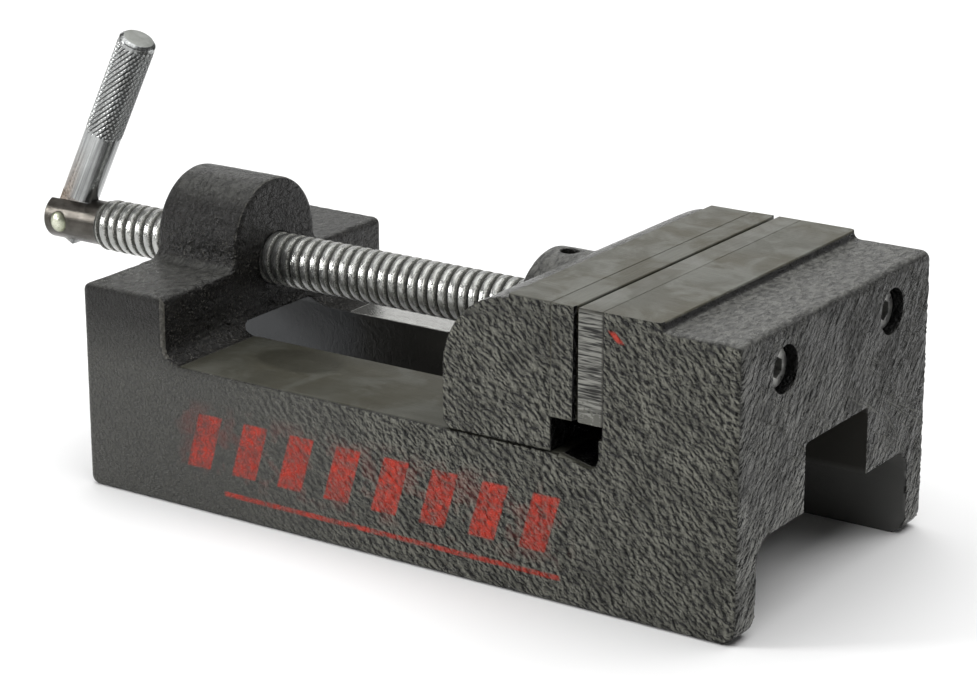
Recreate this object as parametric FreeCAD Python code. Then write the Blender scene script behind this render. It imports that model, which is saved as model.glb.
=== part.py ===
import FreeCAD, Part
import math
import os

from FreeCAD import Vector

# Machine vise of the drill-press kind: a cast channel body with two rails, a cross beam that carries
# the spindle thread, a fixed jaw, a movable jaw that slides on the rails, and a folding crank handle.
#
# Frame, millimetres: the origin is the centre of the body's footprint on the plane that it stands on.
# +X runs along the spindle axis from the crank towards the fixed jaw, +Z is up.

# ---- driving dimensions ------------------------------------------------------------------------

BODY_LENGTH = 248.0
BODY_WIDTH = 120.0
X_LEFT = -BODY_LENGTH / 2
X_RIGHT = BODY_LENGTH / 2
HALF_WIDTH = BODY_WIDTH / 2

AXIS_Z = 69.8                 # spindle axis above the base plane

# rails and channel
RAIL_TOP_Z = 48.3
RAIL_UNDER_Z = 30.0
SLOT_HALF = 20.0              # guide slot between the two rails
SLOT_CEILING_JAW_Z = 52.0     # slot roof under the fixed jaw
SLOT_JAW_CORNER = 1.5
SLOT_CEILING_BEAM_Z = 51.7    # slot roof under the cross beam
SLOT_BEAM_CORNER = 4.0
LEG_INNER_HALF_LOW = 49.2
LEG_INNER_HALF_HIGH = 48.0
CHANNEL_FILLET = 7.0
UNDERSIDE_ROUND = 10.0        # rounding of the rails' underside at the crank end

# cross beam and its boss
BEAM_TOP_Z = 70.2
BEAM_INNER_X = -90.0
BEAM_ROOT_FILLET = 6.0
BOSS_HALF = 21.4
BOSS_TOP_Z = 97.5
BOSS_FOOT_FILLET = 5.0
BOSS_SKIRT = 10.0             # how far the boss foot reaches past its own sides
BOSS_RIM_FILLET = 1.6

# fixed jaw
JAW_TOP_Z = 95.0              # ground tops of both jaws and their plates
PAINTED_TOP_Z = 92.5
PAD_STEP_X = 97.4
FIXED_SEAT_X = 77.7           # face that the fixed plate is bolted to
LEDGE_Z = 55.2
LEDGE_X = 76.1
RELIEF_Z = 45.0               # relief groove at the foot of the fixed jaw
RELIEF_RAMP_X = 62.3

# jaw plates
PLATE_THICKNESS = 8.5
PLATE_BOTTOM_Z = 59.5
PLATE_SCREW_Y = 34.0
PLATE_SCREW_Z = 79.0
JAW_GAP = 1.2                 # between the plates in the modelled position
PLATE_THREAD_DEPTH = 7.2

# movable jaw
MOVABLE_FRONT_X = FIXED_SEAT_X - 2 * PLATE_THICKNESS - JAW_GAP
MOVABLE_BACK_X = 20.2
MOVABLE_HALF = 59.8
MOVABLE_SHOULDER_Z = 93.8     # painted top of the rounded back
MOVABLE_BACK_RADIUS = 25.8
MOVABLE_PAD_X = 44.4
SLIDE_GAP = 0.1
TONGUE_FROM_X = 22.0
TONGUE_TO_X = 57.5
TONGUE_HALF = 19.9
TONGUE_BOTTOM_Z = 29.8
REAR_BOSS_RADIUS = 21.5
NOSE_BORE_TO_X = 52.0
RETAINER_X = 27.8             # retaining screw that runs in the groove of the spindle nose
RETAINER_HOLE_RADIUS = 3.0
RETAINER_RADIUS = 2.95
RETAINER_DOG_RADIUS = 2.0
RETAINER_DOG_TIP_Z = 74.3
RETAINER_SHOULDER_Z = 78.5
RETAINER_TOP_Z = 88.0
RETAINER_SOCKET_FLATS = 3.0
RETAINER_SOCKET_DEPTH = 3.0

# keeper under the rails
KEEPER_THICKNESS = 7.0
KEEPER_HALF = 34.0
KEEPER_FROM_X = 24.0
KEEPER_TO_X = 56.0
KEEPER_BOLT_X = {"front": 49.0, "rear": 31.0}
WASHER_THICKNESS = 2.0
WASHER_RADIUS = 6.4
WASHER_BORE_RADIUS = 4.1
WASHER_SPLIT_HALF = 0.5

# spindle, trapezoidal thread 18 x 4
THREAD_RADIUS = 9.0
THREAD_BORE_RADIUS = 9.05
THREAD_FROM_X = -165.0
THREAD_TO_X = 19.9
THREAD_LEAD_CHAMFER = 1.2
NOSE_RADIUS = 5.95
NOSE_BORE_RADIUS = 6.0
NOSE_TO_X = 50.0
GROOVE_RADIUS = 4.25
GROOVE_HALF_WIDTH = 2.3
NECK_RADIUS = 7.75            # plain end that carries the crank
SPINDLE_END_X = -188.5
FORK_SLOT_HALF = 3.1
FORK_SLOT_TO_X = -170.0

# crank handle
PIVOT_X = -181.5
PIN_RADIUS = 2.97
PIN_HOLE_RADIUS = 3.0
HANDLE_HOLE_RADIUS = 3.03
PIN_HEAD_RADIUS = 3.72
PIN_HEAD_SEAT_Y = 6.8         # depth of the spot faces under the rivet's heads
PIN_HEAD_RIM_Y = 7.5          # where the heads' domes begin
PIN_DOME_HEIGHT = 1.5
SPOT_FACE_RADIUS = 3.75
HANDLE_RADIUS = 6.5
HANDLE_TILT_DEG = 26.4        # lean of the handle from the vertical, towards the vise
HANDLE_TOP = 76.5             # from the pivot to the flat end
HANDLE_SHOULDER = 11.1        # from the pivot to the shoulder above the tongue
TONGUE_END = 7.0              # length of the tongue past the pivot
TONGUE_HALF_THICKNESS = 3.0
TONGUE_CORNER = 1.0
HANDLE_CHAMFER = 1.3

CORNER_FILLET = 1.8           # upright corners of the body
BORE_CHAMFER = 0.5

# M8 screws
M8_RADIUS = 3.95
M8_HOLE_RADIUS = 4.0
M8_CLEARANCE_RADIUS = 4.5
M8_HEAD_RADIUS = 6.5
M8_HEAD_HEIGHT = 8.0
M8_COUNTERBORE_RADIUS = 7.5
M8_SOCKET_FLATS = 6.0
M8_SOCKET_DEPTH = 4.5
M8_HEX_FLATS = 13.0
M8_HEX_HEIGHT = 5.3
FIXED_SCREW_SEAT_X = X_RIGHT - 11.0
FIXED_SCREW_LENGTH = 40.0
MOVABLE_SCREW_SEAT_X = 36.0
MOVABLE_SCREW_LENGTH = 30.0
KEEPER_BOLT_LENGTH = 20.0


# ---- helpers -----------------------------------------------------------------------------------

def block(x0, x1, y0, y1, z0, z1):
    return Part.makeBox(x1 - x0, y1 - y0, z1 - z0, Vector(x0, y0, z0))


def rod_x(radius, x0, x1, y=0.0, z=AXIS_Z):
    return Part.makeCylinder(radius, x1 - x0, Vector(x0, y, z), Vector(1, 0, 0))


def rod_y(radius, y0, y1, x, z):
    return Part.makeCylinder(radius, y1 - y0, Vector(x, y0, z), Vector(0, 1, 0))


def rod_z(radius, z0, z1, x=0.0, y=0.0):
    return Part.makeCylinder(radius, z1 - z0, Vector(x, y, z0), Vector(0, 0, 1))


def cone_x(r0, r1, x0, x1, y=0.0, z=AXIS_Z):
    return Part.makeCone(r0, r1, x1 - x0, Vector(x0, y, z), Vector(1, 0, 0))


def rounded_wire(corners, place):
    """A closed wire through corners (u, v, radius), each corner rounded by its own tangent arc."""
    spans = []
    count = len(corners)
    for i, (u, v, radius) in enumerate(corners):
        here = Vector(u, v, 0)
        before = Vector(corners[i - 1][0], corners[i - 1][1], 0) - here
        after = Vector(corners[(i + 1) % count][0], corners[(i + 1) % count][1], 0) - here
        before.normalize()
        after.normalize()
        if radius == 0:
            spans.append((here, None, here))
            continue
        half = before.getAngle(after) / 2
        cut = radius / math.tan(half)
        bisector = before + after
        bisector.normalize()
        middle = here + bisector * (radius / math.sin(half) - radius)
        spans.append((here + before * cut, middle, here + after * cut))
    edges = []
    for i, (start, middle, end) in enumerate(spans):
        if middle is not None:
            edges.append(Part.Arc(place(start), place(middle), place(end)).toShape())
        following = spans[(i + 1) % count][0]
        if (following - end).Length > 1e-6:
            edges.append(Part.LineSegment(place(end), place(following)).toShape())
    return Part.Wire(edges)


def prism_y(corners, y0, y1):
    """Extrudes an outline of (x, z, radius) corners along Y."""
    wire = rounded_wire(corners, lambda p: Vector(p.x, y0, p.y))
    return Part.Face(wire).extrude(Vector(0, y1 - y0, 0))


def prism_x(corners, x0, x1):
    """Extrudes an outline of (y, z, radius) corners along X."""
    wire = rounded_wire(corners, lambda p: Vector(x0, p.x, p.y))
    return Part.Face(wire).extrude(Vector(x1 - x0, 0, 0))


def prism_z(corners, z0, z1):
    """Extrudes an outline of (x, y, radius) corners along Z."""
    wire = rounded_wire(corners, lambda p: Vector(p.x, p.y, z0))
    return Part.Face(wire).extrude(Vector(0, 0, z1 - z0))


def hexagon(flats, height):
    """A hexagonal bar standing on the XY plane, centred on Z."""
    reach = flats / 2 / math.cos(math.radians(30))
    corners = [
        (reach * math.cos(math.radians(60 * i)), reach * math.sin(math.radians(60 * i)), 0)
        for i in range(6)
    ]
    return prism_z(corners, 0, height)


def edges_where(shape, test):
    return [edge for edge in shape.Edges if test(edge)]


def lies_at_x(edge, x):
    box = edge.BoundBox
    return abs(box.XMin - x) < 1e-3 and abs(box.XMax - x) < 1e-3


def runs_along(edge, axis):
    box = edge.BoundBox
    spans = {"x": box.XLength, "y": box.YLength, "z": box.ZLength}
    return all(spans[name] < 1e-3 for name in spans if name != axis)


def cap_screw(length):
    """Socket-head screw along Z: the head's underside is at z = 0 and the shank points to -Z."""
    head = rod_z(M8_HEAD_RADIUS, 0, M8_HEAD_HEIGHT)
    rim = edges_where(head, lambda e: abs(e.BoundBox.ZMin - M8_HEAD_HEIGHT) < 1e-3)
    head = head.makeChamfer(0.6, rim)
    socket = hexagon(M8_SOCKET_FLATS, M8_SOCKET_DEPTH + 1)
    socket.translate(Vector(0, 0, M8_HEAD_HEIGHT - M8_SOCKET_DEPTH))
    shank = rod_z(M8_RADIUS, -length, 0)
    tip = edges_where(shank, lambda e: abs(e.BoundBox.ZMax + length) < 1e-3)
    shank = shank.makeChamfer(0.8, tip)
    return head.cut(socket).fuse(shank).removeSplitter()


# ---- body --------------------------------------------------------------------------------------

def body_outline():
    """Side view of the casting: base, fixed jaw with its ground pad, relief groove, rails, beam."""
    return [
        (X_LEFT, 0, 3.0),
        (X_RIGHT, 0, 6.5),
        (X_RIGHT, PAINTED_TOP_Z, 3.0),
        (PAD_STEP_X, PAINTED_TOP_Z, 2.0),
        (PAD_STEP_X, JAW_TOP_Z, 0),
        (FIXED_SEAT_X, JAW_TOP_Z, 0),
        (FIXED_SEAT_X, LEDGE_Z, 0),
        (LEDGE_X, LEDGE_Z, 0),
        (LEDGE_X, RELIEF_Z, 3.0),
        (RELIEF_RAMP_X, RAIL_TOP_Z, 0),
        (BEAM_INNER_X, RAIL_TOP_Z, BEAM_ROOT_FILLET),
        (BEAM_INNER_X, BEAM_TOP_Z, 2.5),
        (X_LEFT, BEAM_TOP_Z, 2.5),
    ]


def beam_boss():
    """Arched boss over the beam, with hollow fillets at its feet."""
    foot = BOSS_HALF + BOSS_SKIRT
    low = BEAM_TOP_Z - 6
    outline = [
        (-foot, low, 0),
        (foot, low, 0),
        (foot, BEAM_TOP_Z, 0),
        (BOSS_HALF, BEAM_TOP_Z, BOSS_FOOT_FILLET),
        (BOSS_HALF, BOSS_TOP_Z, BOSS_HALF),
        (-BOSS_HALF, BOSS_TOP_Z, BOSS_HALF),
        (-BOSS_HALF, BEAM_TOP_Z, BOSS_FOOT_FILLET),
        (-foot, BEAM_TOP_Z, 0),
    ]
    boss = prism_x(outline, X_LEFT, BEAM_INNER_X)
    rims = edges_where(
        boss,
        lambda e: (lies_at_x(e, X_LEFT) or lies_at_x(e, BEAM_INNER_X)) and e.BoundBox.ZMax > BOSS_TOP_Z - 1,
    )
    return boss.makeFillet(BOSS_RIM_FILLET, rims)


def channel():
    """Space between the legs, open at both ends and below."""
    outline = [
        (-LEG_INNER_HALF_LOW, -1, 0),
        (LEG_INNER_HALF_LOW, -1, 0),
        (LEG_INNER_HALF_HIGH, RAIL_UNDER_Z, CHANNEL_FILLET),
        (-LEG_INNER_HALF_HIGH, RAIL_UNDER_Z, CHANNEL_FILLET),
    ]
    return prism_x(outline, X_LEFT - 1, X_RIGHT + 1)


def left_end_relief():
    """Rounds the rails' underside off towards the crank end."""
    corner = block(
        X_LEFT - 1, X_LEFT + UNDERSIDE_ROUND, -LEG_INNER_HALF_HIGH + CHANNEL_FILLET,
        LEG_INNER_HALF_HIGH - CHANNEL_FILLET, RAIL_UNDER_Z - 1, RAIL_UNDER_Z + UNDERSIDE_ROUND,
    )
    keep = rod_y(
        UNDERSIDE_ROUND, -HALF_WIDTH, HALF_WIDTH, X_LEFT + UNDERSIDE_ROUND, RAIL_UNDER_Z + UNDERSIDE_ROUND
    )
    return corner.cut(keep)


def guide_slot(x0, x1, ceiling, corner):
    outline = [
        (-SLOT_HALF, RAIL_UNDER_Z - 2, 0),
        (SLOT_HALF, RAIL_UNDER_Z - 2, 0),
        (SLOT_HALF, ceiling, corner),
        (-SLOT_HALF, ceiling, corner),
    ]
    return prism_x(outline, x0, x1)


def fixed_screw_bore(y):
    counterbore = rod_x(M8_COUNTERBORE_RADIUS, FIXED_SCREW_SEAT_X, X_RIGHT + 1, y, PLATE_SCREW_Z)
    through = rod_x(M8_CLEARANCE_RADIUS, FIXED_SEAT_X - 1, X_RIGHT, y, PLATE_SCREW_Z)
    return counterbore.fuse(through)


def body_casting():
    body = prism_y(body_outline(), -HALF_WIDTH, HALF_WIDTH)
    body = body.cut(channel()).cut(left_end_relief())
    body = body.cut(guide_slot(X_LEFT - 1, 0, SLOT_CEILING_BEAM_Z, SLOT_BEAM_CORNER))
    body = body.cut(guide_slot(0, X_RIGHT + 1, SLOT_CEILING_JAW_Z, SLOT_JAW_CORNER))
    body = body.fuse(beam_boss())
    body = body.cut(rod_x(THREAD_BORE_RADIUS, X_LEFT - 1, BEAM_INNER_X + 1))
    mouth = THREAD_BORE_RADIUS + BORE_CHAMFER
    body = body.cut(cone_x(mouth, THREAD_BORE_RADIUS, X_LEFT, X_LEFT + BORE_CHAMFER))
    body = body.cut(cone_x(THREAD_BORE_RADIUS, mouth, BEAM_INNER_X - BORE_CHAMFER, BEAM_INNER_X))
    for side in (-1, 1):
        body = body.cut(fixed_screw_bore(side * PLATE_SCREW_Y))
    body = body.removeSplitter()
    corners = edges_where(
        body,
        lambda e: runs_along(e, "z")
        and abs(abs(e.BoundBox.YMax) - HALF_WIDTH) < 1e-3
        and (lies_at_x(e, X_RIGHT) or lies_at_x(e, X_LEFT)),
    )
    return body.makeFillet(CORNER_FILLET, corners)


# ---- jaws --------------------------------------------------------------------------------------

def jaw_plate(x0, thread_from_x):
    """Steel plate across the whole jaw; its two blind threads open towards its own casting."""
    plate = block(x0, x0 + PLATE_THICKNESS, -HALF_WIDTH, HALF_WIDTH, PLATE_BOTTOM_Z, JAW_TOP_Z)
    plate = plate.makeChamfer(0.3, edges_where(plate, lambda e: runs_along(e, "y")))
    for side in (-1, 1):
        plate = plate.cut(
            rod_x(
                M8_HOLE_RADIUS,
                thread_from_x,
                thread_from_x + PLATE_THREAD_DEPTH,
                side * PLATE_SCREW_Y,
                PLATE_SCREW_Z,
            )
        )
    return plate


def movable_jaw_shell():
    """Outer shape: rounded back, ground pad, rear boss round the spindle, and the guide tongue."""
    bottom = RAIL_TOP_Z + SLIDE_GAP
    outline = [
        (MOVABLE_BACK_X, bottom, 3.5),
        (MOVABLE_FRONT_X, bottom, 0.5),
        (MOVABLE_FRONT_X, MOVABLE_SHOULDER_Z, 0),
        (MOVABLE_BACK_X, MOVABLE_SHOULDER_Z, MOVABLE_BACK_RADIUS),
    ]
    shell = prism_y(outline, -MOVABLE_HALF, MOVABLE_HALF)
    pad = block(
        MOVABLE_PAD_X, MOVABLE_FRONT_X, -MOVABLE_HALF, MOVABLE_HALF, MOVABLE_SHOULDER_Z - 3, JAW_TOP_Z
    )
    boss = rod_x(REAR_BOSS_RADIUS, MOVABLE_BACK_X, MOVABLE_PAD_X)
    rear_rim = edges_where(boss, lambda e: lies_at_x(e, MOVABLE_BACK_X))
    boss = boss.makeFillet(BOSS_RIM_FILLET, rear_rim)
    tongue = block(
        TONGUE_FROM_X, TONGUE_TO_X, -TONGUE_HALF, TONGUE_HALF, TONGUE_BOTTOM_Z, bottom + 4
    )
    lower = block(
        MOVABLE_BACK_X - 1, MOVABLE_FRONT_X, -REAR_BOSS_RADIUS, REAR_BOSS_RADIUS, bottom - 3, bottom
    )
    return shell.fuse([pad, boss.cut(lower), tongue]).removeSplitter()


def movable_screw_bore(y):
    counterbore = rod_x(
        M8_COUNTERBORE_RADIUS, MOVABLE_BACK_X - 5, MOVABLE_SCREW_SEAT_X, y, PLATE_SCREW_Z
    )
    through = rod_x(M8_CLEARANCE_RADIUS, MOVABLE_BACK_X, MOVABLE_FRONT_X + 1, y, PLATE_SCREW_Z)
    return counterbore.fuse(through)


def movable_jaw():
    jaw = movable_jaw_shell()
    jaw = jaw.cut(rod_x(NOSE_BORE_RADIUS, MOVABLE_BACK_X - 1, NOSE_BORE_TO_X))
    drill_point = cone_x(NOSE_BORE_RADIUS, 0.5, NOSE_BORE_TO_X, NOSE_BORE_TO_X + 3)
    jaw = jaw.cut(drill_point)
    boss_top = AXIS_Z + REAR_BOSS_RADIUS
    jaw = jaw.cut(rod_z(RETAINER_HOLE_RADIUS, AXIS_Z, boss_top + 1, RETAINER_X))
    for side in (-1, 1):
        jaw = jaw.cut(movable_screw_bore(side * PLATE_SCREW_Y))
    for x in KEEPER_BOLT_X.values():
        jaw = jaw.cut(rod_z(M8_HOLE_RADIUS, TONGUE_BOTTOM_Z - 1, TONGUE_BOTTOM_Z + 15, x))
    return jaw.removeSplitter()


def retaining_screw():
    """Headless screw with a dog point that sits in the groove of the spindle nose."""
    screw = rod_z(RETAINER_RADIUS, RETAINER_SHOULDER_Z, RETAINER_TOP_Z, RETAINER_X)
    dog = rod_z(RETAINER_DOG_RADIUS, RETAINER_DOG_TIP_Z, RETAINER_SHOULDER_Z + 1, RETAINER_X)
    screw = screw.fuse(dog)
    socket = hexagon(RETAINER_SOCKET_FLATS, RETAINER_SOCKET_DEPTH + 1)
    socket.translate(Vector(RETAINER_X, 0, RETAINER_TOP_Z - RETAINER_SOCKET_DEPTH))
    return screw.cut(socket).removeSplitter()


# ---- keeper ------------------------------------------------------------------------------------

def keeper_plate():
    """Plate under the rails that holds the movable jaw down."""
    outline = [
        (KEEPER_FROM_X, -KEEPER_HALF, 4),
        (KEEPER_TO_X, -KEEPER_HALF, 4),
        (KEEPER_TO_X, KEEPER_HALF, 4),
        (KEEPER_FROM_X, KEEPER_HALF, 4),
    ]
    plate = prism_z(outline, TONGUE_BOTTOM_Z - KEEPER_THICKNESS, TONGUE_BOTTOM_Z)
    for x in KEEPER_BOLT_X.values():
        plate = plate.cut(rod_z(M8_CLEARANCE_RADIUS, 0, TONGUE_BOTTOM_Z + 1, x))
    return plate


def keeper_washer(x):
    """Split spring washer under a keeper bolt's head."""
    top = TONGUE_BOTTOM_Z - KEEPER_THICKNESS
    ring = rod_z(WASHER_RADIUS, top - WASHER_THICKNESS, top, x)
    ring = ring.cut(rod_z(WASHER_BORE_RADIUS, 0, top + 1, x))
    split = block(x, x + 10, -WASHER_SPLIT_HALF, WASHER_SPLIT_HALF, top - WASHER_THICKNESS - 1, top + 1)
    return ring.cut(split)


def keeper_bolt(x):
    """Hexagon-head bolt driven up into the tongue."""
    seat = TONGUE_BOTTOM_Z - KEEPER_THICKNESS - WASHER_THICKNESS
    head = hexagon(M8_HEX_FLATS, M8_HEX_HEIGHT)
    reach = M8_HEX_FLATS / 2 / math.cos(math.radians(30))
    trim = Part.makeCone(reach * 0.86, reach + 4, 4, Vector(0, 0, 0), Vector(0, 0, 1))
    upper = rod_z(reach + 4, 2.0, M8_HEX_HEIGHT)
    head = head.common(trim.common(rod_z(reach + 4, 0, 2.0)).fuse(upper))
    shank = rod_z(M8_RADIUS, M8_HEX_HEIGHT, M8_HEX_HEIGHT + KEEPER_BOLT_LENGTH)
    bolt = head.fuse(shank).removeSplitter()
    bolt.translate(Vector(x, 0, seat - M8_HEX_HEIGHT))
    return bolt


# ---- spindle and crank -------------------------------------------------------------------------

def spindle():
    """Spindle with its thread as the full 18 mm cylinder, grooved nose, plain end and fork."""
    thread = rod_x(THREAD_RADIUS, THREAD_FROM_X, THREAD_TO_X)
    ends = edges_where(thread, lambda e: lies_at_x(e, THREAD_FROM_X) or lies_at_x(e, THREAD_TO_X))
    thread = thread.makeChamfer(THREAD_LEAD_CHAMFER, ends)
    nose = rod_x(NOSE_RADIUS, THREAD_TO_X - 1, NOSE_TO_X)
    nose = nose.makeChamfer(1.0, edges_where(nose, lambda e: lies_at_x(e, NOSE_TO_X)))
    groove = rod_x(NOSE_RADIUS + 1, RETAINER_X - GROOVE_HALF_WIDTH, RETAINER_X + GROOVE_HALF_WIDTH)
    groove = groove.cut(rod_x(GROOVE_RADIUS, RETAINER_X - 5, RETAINER_X + 5))
    neck = rod_x(NECK_RADIUS, SPINDLE_END_X, THREAD_FROM_X + 1)
    neck = neck.makeFillet(1.0, edges_where(neck, lambda e: lies_at_x(e, SPINDLE_END_X)))
    fork = block(
        SPINDLE_END_X - 1, FORK_SLOT_TO_X, -FORK_SLOT_HALF, FORK_SLOT_HALF,
        AXIS_Z - NECK_RADIUS - 1, AXIS_Z + NECK_RADIUS + 1,
    )
    pin_hole = rod_y(PIN_HOLE_RADIUS, -NECK_RADIUS - 1, NECK_RADIUS + 1, PIVOT_X, AXIS_Z)
    neck = neck.cut(fork).cut(pin_hole)
    for y0, y1 in ((-NECK_RADIUS - 1, -PIN_HEAD_SEAT_Y), (PIN_HEAD_SEAT_Y, NECK_RADIUS + 1)):
        neck = neck.cut(rod_y(SPOT_FACE_RADIUS, y0, y1, PIVOT_X, AXIS_Z))
    bar = thread.fuse([nose.cut(groove), neck])
    return bar.removeSplitter()


def pivot_pin():
    """Rivet through the fork and the tongue, domed on both sides."""
    pin = rod_y(PIN_RADIUS, -PIN_HEAD_SEAT_Y, PIN_HEAD_SEAT_Y, PIVOT_X, AXIS_Z)
    sphere_radius = (PIN_HEAD_RADIUS ** 2 + PIN_DOME_HEIGHT ** 2) / (2 * PIN_DOME_HEIGHT)
    sink = sphere_radius - PIN_DOME_HEIGHT
    outermost = PIN_HEAD_RIM_Y + PIN_DOME_HEIGHT
    for side in (-1, 1):
        seat, rim, tip = side * PIN_HEAD_SEAT_Y, side * PIN_HEAD_RIM_Y, side * outermost
        head = rod_y(PIN_HEAD_RADIUS, min(seat, tip), max(seat, tip), PIVOT_X, AXIS_Z)
        dome = Part.makeSphere(sphere_radius, Vector(PIVOT_X, rim - side * sink, AXIS_Z))
        pin = pin.fuse(head.common(dome))
    return pin.removeSplitter()


def crank_handle():
    """Round bar with a flat tongue that folds in the fork, leaning towards the vise."""
    bar = rod_z(HANDLE_RADIUS, -TONGUE_END, HANDLE_TOP)
    top = edges_where(bar, lambda e: abs(e.BoundBox.ZMin - HANDLE_TOP) < 1e-3)
    bar = bar.makeChamfer(HANDLE_CHAMFER, top)
    wide = HANDLE_RADIUS + 1
    for side in (-1, 1):
        y0 = min(side * TONGUE_HALF_THICKNESS, side * wide)
        y1 = max(side * TONGUE_HALF_THICKNESS, side * wide)
        bar = bar.cut(block(-wide, wide, y0, y1, -TONGUE_END - 1, HANDLE_SHOULDER))
    rounding = prism_y(
        [
            (-HANDLE_RADIUS, -TONGUE_END, TONGUE_CORNER),
            (HANDLE_RADIUS, -TONGUE_END, TONGUE_CORNER),
            (HANDLE_RADIUS, HANDLE_TOP + 1, 0),
            (-HANDLE_RADIUS, HANDLE_TOP + 1, 0),
        ],
        -wide,
        wide,
    )
    bar = bar.common(rounding)
    bar = bar.cut(rod_y(HANDLE_HOLE_RADIUS, -wide, wide, 0, 0))
    bar.rotate(Vector(0, 0, 0), Vector(0, 1, 0), HANDLE_TILT_DEG)
    bar.translate(Vector(PIVOT_X, 0, AXIS_Z))
    return bar


# ---- plate screws in place ---------------------------------------------------------------------

def fixed_plate_screw(y):
    screw = cap_screw(FIXED_SCREW_LENGTH)
    screw.rotate(Vector(0, 0, 0), Vector(0, 1, 0), 90)
    screw.translate(Vector(FIXED_SCREW_SEAT_X, y, PLATE_SCREW_Z))
    return screw


def movable_plate_screw(y):
    screw = cap_screw(MOVABLE_SCREW_LENGTH)
    screw.rotate(Vector(0, 0, 0), Vector(0, 1, 0), -90)
    screw.translate(Vector(MOVABLE_SCREW_SEAT_X, y, PLATE_SCREW_Z))
    return screw


# ---- assembly ----------------------------------------------------------------------------------

def build():
    fixed_plate_x = FIXED_SEAT_X - PLATE_THICKNESS
    parts = {
        "body_casting": body_casting(),
        "fixed_jaw_plate": jaw_plate(fixed_plate_x, FIXED_SEAT_X - PLATE_THREAD_DEPTH),
        "movable_jaw": movable_jaw(),
        "movable_jaw_plate": jaw_plate(MOVABLE_FRONT_X, MOVABLE_FRONT_X),
        "keeper_plate": keeper_plate(),
        "spindle": spindle(),
        "spindle_retaining_screw": retaining_screw(),
        "crank_handle": crank_handle(),
        "crank_pivot_pin": pivot_pin(),
    }
    for name, side in (("near", -1), ("far", 1)):
        parts[f"fixed_plate_screw_{name}"] = fixed_plate_screw(side * PLATE_SCREW_Y)
        parts[f"movable_plate_screw_{name}"] = movable_plate_screw(side * PLATE_SCREW_Y)
    for name, x in KEEPER_BOLT_X.items():
        parts[f"keeper_bolt_{name}"] = keeper_bolt(x)
        parts[f"keeper_washer_{name}"] = keeper_washer(x)
    return parts


os.makedirs("parts", exist_ok=True)
for node, shape in build().items():
    solids = shape.Solids
    print(f"{node}: {len(solids)} solid, valid {shape.isValid()}, {shape.Volume:.0f} mm3")
    if len(solids) == 1:
        shape = solids[0]
    shape.exportStep(f"parts/{node}.step")
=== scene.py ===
"""Looks of a machine vise: cast and painted body, ground jaws, screw spindle and knurled crank."""
import math

import bmesh
import bpy
import numpy as np
from mathutils import Matrix, Vector


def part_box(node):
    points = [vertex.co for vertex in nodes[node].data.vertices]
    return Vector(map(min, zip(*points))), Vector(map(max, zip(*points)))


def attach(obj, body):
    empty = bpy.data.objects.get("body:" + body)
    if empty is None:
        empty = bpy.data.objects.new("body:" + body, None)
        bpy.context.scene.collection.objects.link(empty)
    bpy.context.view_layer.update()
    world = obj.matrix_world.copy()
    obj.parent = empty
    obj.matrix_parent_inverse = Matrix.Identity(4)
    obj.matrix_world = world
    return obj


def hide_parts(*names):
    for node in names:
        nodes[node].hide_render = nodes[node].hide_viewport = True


MM = 0.001
X, Y, Z = range(3)

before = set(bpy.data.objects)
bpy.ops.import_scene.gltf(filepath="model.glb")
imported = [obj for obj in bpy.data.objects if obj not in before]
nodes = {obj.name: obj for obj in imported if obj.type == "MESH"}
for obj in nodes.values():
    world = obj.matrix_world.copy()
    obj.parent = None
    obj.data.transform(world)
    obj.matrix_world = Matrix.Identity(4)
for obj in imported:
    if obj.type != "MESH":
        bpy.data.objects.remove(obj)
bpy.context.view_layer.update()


# ---- sizes in millimetres ------------------------------------------------------------------------

def corners(node):
    """Lowest and highest corner of a CAD node."""
    return [[round(c / MM, 2) for c in corner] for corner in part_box(node)]


def middle(node):
    """Centre of a CAD node, to a tenth of a millimetre."""
    low, high = corners(node)
    return [round((a + b) / 2, 1) for a, b in zip(low, high)]


PLATE_LOW, PLATE_HIGH = corners("movable_jaw_plate")
JAW_FACE_X = PLATE_LOW[X]
PLATE_FACE_X = PLATE_HIGH[X]
HALF_WIDTH = PLATE_HIGH[Y]
PLATE_FOOT_Z = PLATE_LOW[Z]
PAD_Z = PLATE_HIGH[Z]
END_X = corners("body_casting")[1][X]
SEAT_X = corners("fixed_jaw_plate")[1][X]
AXIS_Z = middle("spindle")[Z]
PIVOT_X = middle("crank_pivot_pin")[X]
SCREW_Y, SCREW_Z = middle("fixed_plate_screw_far")[Y:]
RETAINER_X = middle("spindle_retaining_screw")[X]

RAIL_Z = 48.3            # top of the rails, which the movable jaw slides on
RAIL_FOOT_Z = 30.0       # underside of the rails
SLOT_Y = 20.0            # half the width of the slot between the rails
UNDER_Y = 41.0           # where the flat underside of each rail ends in a fillet
BEAM_X = -90.0           # inner face of the beam and of its boss
RAMP_X = 62.0            # where the rails end and a ramp goes down to the fixed jaw
WALL_X = 76.1            # low wall under the fixed plate
BORE = 9.3               # radius of the spindle's bore, which is a little over the CAD's
COUNTERBORE = 7.5        # radius of the holes round the plate screws' heads

PITCH = 4.0              # of the spindle's thread
CREST = 9.0              # radius over the thread
THREAD_X = (-165.0, 19.9)
RUN_OUT = 2.2            # length over which each end of the thread fades out

LEAN = math.radians(26.4)        # of the crank, from upright towards the jaws
KNURL_LINES = 24                 # grooves round the bar, in each direction
KNURL_LEAD = 65.0                # length over which a groove goes once round
CAP_S = 76.5                     # distance of the crank's end from its pivot
RING_STEP = 0.2                  # spacing of the rings that the thread and the knurl are made of


# ---- numbers and noise ---------------------------------------------------------------------------

def smooth(low, high, value):
    t = np.clip((value - low) / (high - low), 0.0, 1.0)
    return t * t * (3 - 2 * t)


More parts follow.
